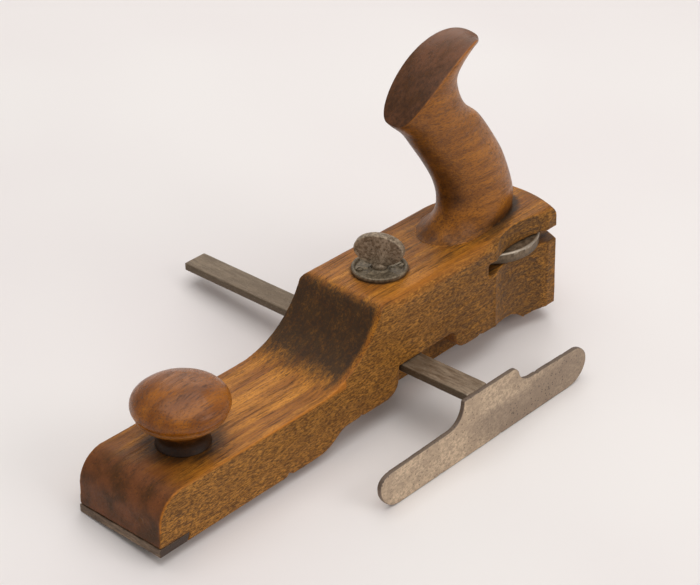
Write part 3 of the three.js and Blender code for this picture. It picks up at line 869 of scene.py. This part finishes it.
def make_handle():
    obj = build_grip()
    wear_grip(obj)
    x, y, z = points_of(obj).T
    n = normals_of(obj)
    facet = painted(obj, "facet")
    rim = painted(obj, "rim")
    low = (1 - smoothstep(59, 67, z)) * (0.8 - 0.3 * foot_front(x))
    # Painted shade: the grip's front-facing side is darkened and given some of the toe's
    # reddish tone.
    front = smoothstep(0.0, 0.75, -n[:, 0]) * smoothstep(62, 80, z)
    paint(obj, "stain_and_shade", np.maximum.reduce([facet * 0.2, low, front * 0.62]))
    paint(obj, "side", smoothstep(0.3, 0.9, np.abs(n[:, 1])) * (1 - facet) * 0.3)
    paint(obj, "toe", front * 0.3 + facet * 0.9)
    # A painted highlight along the right-hand side of the top's rim.
    paint(obj, "painted_highlight", rim * smoothstep(2, 10, MID_Y - y) * 0.7)
    for name in ("facet", "rim"):
        obj.data.attributes.remove(obj.data.attributes[name])
    finish_piece(obj, HANDLE_WOOD, "gauge_body", "stock_wood", "handle")


# ---------- front knob ----------
def make_knob():
    z = LOW_DECK + 0.1
    corners = [
        [12.6, z], [12.2, z + 1.0], [11.6, z + 2.6], [11.3, z + 4.1], [11.5, z + 5.8],
        [12.4, z + 8.2], [14.5, z + 10.5], [18.5, z + 12.9], [20.3, z + 14.5],
        [20.8, z + 15.6], [20.7, z + 16.3], [21.2, z + 17.0], [22.0, z + 18.2],
        [22.4, z + 19.8], [22.1, z + 21.7], [21.1, z + 23.8], [18.6, z + 26.1],
        [15.0, z + 28.1], [10.0, z + 29.9], [5.0, z + 30.8], [0.0, z + 31.0],
    ]
    tenon = [[0, LOW_DECK - 13.5], [5.6, LOW_DECK - 13.5], [5.7, LOW_DECK - 12], [5.7, z]]
    turned = [catmull_rom(corners, t) for t in np.linspace(0, 1, 90)]
    turned[-1][0] = 0
    obj = lathe("knob_turning", tenon + turned, KNOB_X, MID_Y, 128)
    dent(obj, 0.16, 13, 21)
    dent(obj, 0.03, 2.5, 22)
    # Small knocks on the dome: x, y, size and depth.
    p = points_of(obj)
    knocks = ((36, 12, 1.0, 0.4), (38.5, 9.5, 0.8, 0.35), (44, 20, 0.7, 0.25))
    for knock_x, knock_y, size, depth in knocks:
        away = np.hypot(p[:, 0] - knock_x, p[:, 1] - knock_y)
        p[:, 2] -= depth * bell(away, size) * (p[:, 2] > z + 17)
    set_points(obj, p)
    paint_wear(obj, 4, 2.0)
    height = points_of(obj)[:, 2] - z
    under = (1 - smoothstep(14.5, 19, height)) * smoothstep(7, 12, height)
    paint(obj, "edge", painted(obj, "edge") * (height > 12))
    # Painted shade: the neck under the head is darkened almost to black, the rest of the knob
    # a little.
    paint(obj, "stain_and_shade", 0.95 * (1 - smoothstep(4, 13, height)) + 0.1)
    paint(obj, "side", under * 0.8)
    paint(obj, "toe", smoothstep(18, 24, height) * 0.35)
    # A faint painted highlight on the cove under the head.
    paint(obj, "painted_highlight", under * 0.15)
    finish_piece(obj, KNOB_WOOD, "gauge_body", "knob_wood", "front_knob")


# ---------- steel pieces ----------
def fence_outline():
    left = FENCE_X - FENCE_HALF_LENGTH
    right = FENCE_X + FENCE_HALF_LENGTH
    low = FENCE_BOTTOM
    parts = [
        np.array([[left + 12, low]]),
        bezier((right - 13, low), (right - 6, low), (right, -4), (right, 1.5), 14),
        bezier((right, 1.5), (right, 6), (right - 4, 10.6), (right - 10, 11), 14),
        bezier((201, 12), (195.7, 12.4), (192.5, 14.4), (191.6, 18), 10),
        bezier((191.6, 18), (190.7, 20.8), (188.8, 22.2), (186, 22.3), 10),
        bezier((151.4, 22.3), (150.8, 15), (148, 10.8), (140, 10.5), 20),
        bezier((left + 8, 9.8), (left + 2, 9.2), (left, 7), (left, 3.5), 14),
        bezier((left, 3.5), (left, -1.5), (left + 5, low), (left + 12, low), 14),
    ]
    return np.concatenate(parts)


def make_fence():
    outline = fence_outline()
    count = len(outline)
    points = [[x, FENCE_FACE - FENCE_THICKNESS, z] for x, z in outline]
    points += [[x, FENCE_FACE, z] for x, z in outline]
    faces = [list(range(count)), list(range(count, 2 * count))[::-1]]
    faces += [[i, i + count, (i + 1) % count + count, (i + 1) % count] for i in range(count)]
    obj = new_object("fence_bar", points, faces)
    remesh(obj, 0.36)
    relax(obj, 4, 0.45)
    dent(obj, 0.08, 17, 31)
    dent(obj, 0.035, 1.6, 32)
    # A few nicks along the edges, pressed in from below or from above: x, z and size.
    p = points_of(obj)
    nicks = ((134.5, -9, 1.1), (106, 8, 1.0), (98, -4, 0.8), (178, -9, 0.7), (206, 12, 0.8))
    for nick_x, nick_z, size in nicks:
        pull = 0.45 * bell(np.hypot(p[:, 0] - nick_x, p[:, 2] - nick_z), size)
        p[:, 2] += pull * (1 if nick_z < 0 else -1)
    set_points(obj, p)
    paint_wear(obj, 4, 3.4)
    p = points_of(obj)
    n = normals_of(obj)
    x, z = p[:, 0], p[:, 2]
    dark = smoothstep(150, 172, x + 1.2 * z + 5 * ripple(p, 14, 33))
    dark *= 1 - smoothstep(3, 11, z - 0.05 * (x - 168) + 3 * ripple(p, 10, 34))
    rims = smoothstep(0.3, 0.75, np.hypot(n[:, 0], n[:, 2]))
    paint(obj, "edge", painted(obj, "edge") * 0.5)
    paint(obj, "hollow", np.maximum(painted(obj, "hollow"), rims * (n[:, 2] > 0) * 0.4))
    right = smoothstep(150, 230, x)
    paint(obj, "shade", np.maximum.reduce([dark * 0.6, rims, right * 0.36]))
    finish_piece(obj, FENCE_STEEL, "sliding_fence", "steel", "fence_plate")


def make_beam():
    obj = copy_of("beam", "beam_bar")
    remesh(obj, 0.42)
    relax(obj, 4, 0.45)
    dent(obj, 0.05, 12, 41)
    dent(obj, 0.02, 1.5, 42)
    paint_wear(obj, 4, 3.0)
    n = normals_of(obj)
    near_stock = smoothstep(-22, -2, points_of(obj)[:, 1]) * 0.5
    paint(obj, "shade", np.maximum(smoothstep(0.4, 0.9, np.abs(n[:, 0])), near_stock))
    finish_piece(obj, BEAM_STEEL, "sliding_fence", "steel", "beam")


def make_toe_plate():
    obj = copy_of("toe_wear_plate", "toe_plate")
    remesh(obj, 0.3)
    relax(obj, 4, 0.5)
    dent(obj, 0.06, 7, 51)
    paint_wear(obj, 4, 3.0)
    paint(obj, "shade", smoothstep(0.3, 0.9, np.abs(normals_of(obj)[:, 1])))
    finish_piece(obj, PLATE_STEEL, "gauge_body", "dark_iron", "toe_wear_plate")


def make_disc():
    bore = 4.3
    rim = [[bore, 41.8, 0], [26.5, 41.8, 1.0], [26.5, 47.3, 1.0], [bore, 47.3, 0]]
    profile = subdivided(rounded_profile(rim, 8), 1.2)
    obj = lathe("adjusting_disc_nut", profile, ADJUSTER_X, MID_Y, 192)
    dent(obj, 0.05, 6, 61)
    paint_wear(obj, 3, 4.0)
    p = points_of(obj)
    radius = np.hypot(p[:, 0] - ADJUSTER_X, p[:, 1] - MID_Y)
    # A bright line along the upper rim only, painted as a highlight through the edge
    # attribute.
    top_edge = (1 - np.abs(radius - 26.1) / 0.9) * (p[:, 2] > 46.3)
    paint(obj, "edge", top_edge * 1.4)
    paint(obj, "shade", 0.25 + 0.3 * (p[:, 2] < 43))
    finish_piece(obj, DISC_STEEL, "adjusting_disc", "steel", "disc_nut")


def make_escutcheon():
    base = HIGH_DECK + 0.15
    radius = 13.5

    def ribs(r, angle, z):
        """Eight low ribs that run from the centre out to the rim."""
        if not (4.4 < r < 11.7 and z > base + 0.5):
            return z
        fade = math.sin(math.pi * (r - 4.4) / 7.3) ** 0.5
        return z + 0.55 * fade * max(0.0, math.cos(8 * angle)) ** 3

    corners = [
        [4.1, 46.8, 0], [6.6, 46.8, 0], [6.6, base, 0], [radius - 0.3, base, 0],
        [radius, base + 0.7, 0.3], [radius, base + 1.9, 0.45],
        [radius - 0.8, base + 2.35, 0.4], [radius - 1.7, base + 1.9, 0.35],
        [radius - 2.1, base + 0.95, 0.4], [5.4, base + 0.95, 0.3],
        [4.9, base + 1.7, 0.25], [4.1, base + 1.7, 0],
    ]
    profile = subdivided(rounded_profile(corners, 5), 0.45)
    obj = lathe("escutcheon", profile, CLAMP_X, MID_Y, 160, ribs)
    dent(obj, 0.06, 2.6, 71)
    paint_wear(obj, 4, 3.2)
    paint(obj, "shade", 0.35)
    finish_piece(obj, DARK_IRON, "gauge_body", "dark_iron", "escutcheon_nut")


def thumb_head(centre, wide, thick):
    """An upright oval disc with rounded rims; wide and thick are its level directions."""
    half_width, half_height, half_thick = 12.2, 7.9, 2.3
    # Rows from the middle of one face, over the rim, to the middle of the other, as shares
    # of the way to the rim and of the thickness.
    rows = [(0, 0.97), (0.3, 0.97), (0.6, 0.97), (0.8, 0.97), (0.89, 0.97), (0.915, 1.0)]
    rows += [(0.94, 1.0), (0.97, 0.94), (0.99, 0.84), (1.0, 0.7), (1.0, 0.25)]
    rows += [(share, -depth) for share, depth in reversed(rows)]
    around = 96
    points = []
    index = []
    for share, depth in rows:
        start = len(points)
        if share == 0:
            points.append([0, 0, depth * half_thick])
            index.append([start] * around)
            continue
        inset = (1 - share) * half_height
        for j in range(around):
            angle = 2 * math.pi * j / around
            u = (half_width - inset) * math.cos(angle)
            v = (half_height - inset) * math.sin(angle)
            points.append([u, v, depth * half_thick])
        index.append(list(range(start, start + around)))
    faces = []
    for low, high in zip(index, index[1:]):
        for j in range(around):
            k = (j + 1) % around
            faces.append(list(dict.fromkeys([low[j], low[k], high[k], high[j]])))
    axes = np.array([wide, [0, 0, 1], thick])
    return new_object("thumb_screw_head", np.array(points) @ axes + centre, faces)


def make_thumb_screw():
    turn = math.radians(115)
    wide = np.array([math.cos(turn), math.sin(turn), 0])
    thick = np.array([-math.sin(turn), math.cos(turn), 0])
    centre = np.array([CLAMP_X, MID_Y, 69.9])
    head = thumb_head(centre, wide, thick)
    shaft_rows = [
        [0, 24.9, 0], [3.1, 24.9, 0], [3.8, 25.8, 0], [3.8, 60.5, 0.3], [3.8, 61.8, 0.4],
        [3.2, 62.8, 0.3], [2.0, 63, 0], [0, 63, 0],
    ]
    shaft = lathe("thumb_screw_shaft", rounded_profile(shaft_rows), CLAMP_X, MID_Y, 48)
    for obj in (head, shaft):
        remesh(obj, 0.2)
        relax(obj, 2, 0.3)
        dent(obj, 0.035, 2.2, 81)
        dent(obj, 0.02, 0.8, 82)
    # A small centre pit on each face of the head.
    p = points_of(head)
    away = np.hypot((p - centre) @ wide, p[:, 2] - centre[2] - 1)
    p -= normals_of(head) * (0.35 * bell(away, 0.9))[:, None]
    set_points(head, p)
    for obj in (head, shaft):
        paint_wear(obj, 4, 6.0)
        paint(obj, "shade", 0.25)
    finish_piece(head, THUMB_IRON, "clamp_screw", "dark_iron", "thumb_screw")
    shaft.data.materials.append(THUMB_IRON)
    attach(shaft, "clamp_screw")


def dress_cad_nodes():
    """The small hidden steel pieces keep their CAD shape and get a worn steel finish."""
    for node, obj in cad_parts.items():
        if obj.hide_render:
            continue
        material = DARK_IRON if node.startswith("escutcheon") else INNER_STEEL
        obj.data.materials.clear()
        obj.data.materials.append(material)


# ---------- stage, light and camera ----------
def make_stage():
    # The gauge lies tipped on the stock's left bottom edge and the fence's lower edge.
    drop = np.array([0, FENCE_FACE - STOCK_WIDTH, FENCE_BOTTOM])
    reach = 4000
    along = drop / np.linalg.norm(drop) * reach
    across = np.array([1.0, 0, 0]) * reach
    middle = np.array([CLAMP_X, STOCK_WIDTH, -0.05])
    corners = [
        middle - across - along,
        middle + across - along,
        middle + across + along,
        middle - across + along,
    ]
    floor = new_object("floor", corners, [[0, 1, 2, 3]])
    s = Shader("floor_paper")
    tone = s.noise(s.stretched(0.004, 0.004, 0.004), 2.0)
    colour = s.blend(s.band(tone, 0.3, 0.7), linear(236, 230, 229), linear(240, 236, 234))
    s.put(s.surface.inputs["Base Color"], colour)
    s.surface.inputs["Roughness"].default_value = 0.75
    floor.data.materials.append(s.material)


def aim(obj, target, up):
    """Turns a light or the camera toward a place."""
    forward = (Vector(target) - obj.location).normalized()
    right = forward.cross(Vector(up)).normalized()
    top = right.cross(forward)
    turn = Matrix((right, top, -forward)).transposed()
    obj.rotation_euler = turn.to_euler()


def area_light(name, place, size, power, colour):
    """A softbox that points at the gauge; place and size are in metres."""
    light = bpy.data.lights.new(name, "AREA")
    light.shape = "RECTANGLE"
    light.size, light.size_y = size
    light.energy = power
    light.color = colour
    obj = add_object(name, light)
    obj.location = place
    aim(obj, (0, 0, 0.05), (0.1, 0.2, 1))


def make_lights():
    area_light("top_softbox", (0.05, -0.1, 1.5), (1.6, 1.6), 14.5, (1, 0.985, 0.965))
    area_light("rear_softbox", (0.95, 0.9, 0.95), (1.1, 1.1), 4, (1, 0.98, 0.96))
    area_light("right_softbox", (0.4, -1.5, 0.85), (1.1, 0.9), 7, (1, 0.97, 0.94))
    world = bpy.data.worlds.new("studio")
    world.use_nodes = True
    background = world.node_tree.nodes["Background"]
    background.inputs["Color"].default_value = (0.93, 0.91, 0.9, 1)
    background.inputs["Strength"].default_value = 0.4
    bpy.context.scene.world = world


def make_camera():
    data = bpy.data.cameras.new("camera")
    data.sensor_width = 36
    data.lens = 107.7
    data.shift_y = -0.021
    data.clip_end = 20
    obj = add_object("camera", data)
    obj.location = (np.array([-462.2, -547.5, 550.4]) - DATUM) / 1000
    forward = Vector((0.6306, 0.5911, -0.5029))
    aim(obj, obj.location + forward, (0.3822, 0.3275, 0.8641))
    bpy.context.scene.camera = obj


make_camera()
make_lights()
make_stage()
make_stock()
make_handle()
make_knob()
make_fence()
make_beam()
make_toe_plate()
make_disc()
make_escutcheon()
make_thumb_screw()
dress_cad_nodes()
bpy.context.scene.view_settings.view_transform = "Standard"

bpy.context.view_layer.update()
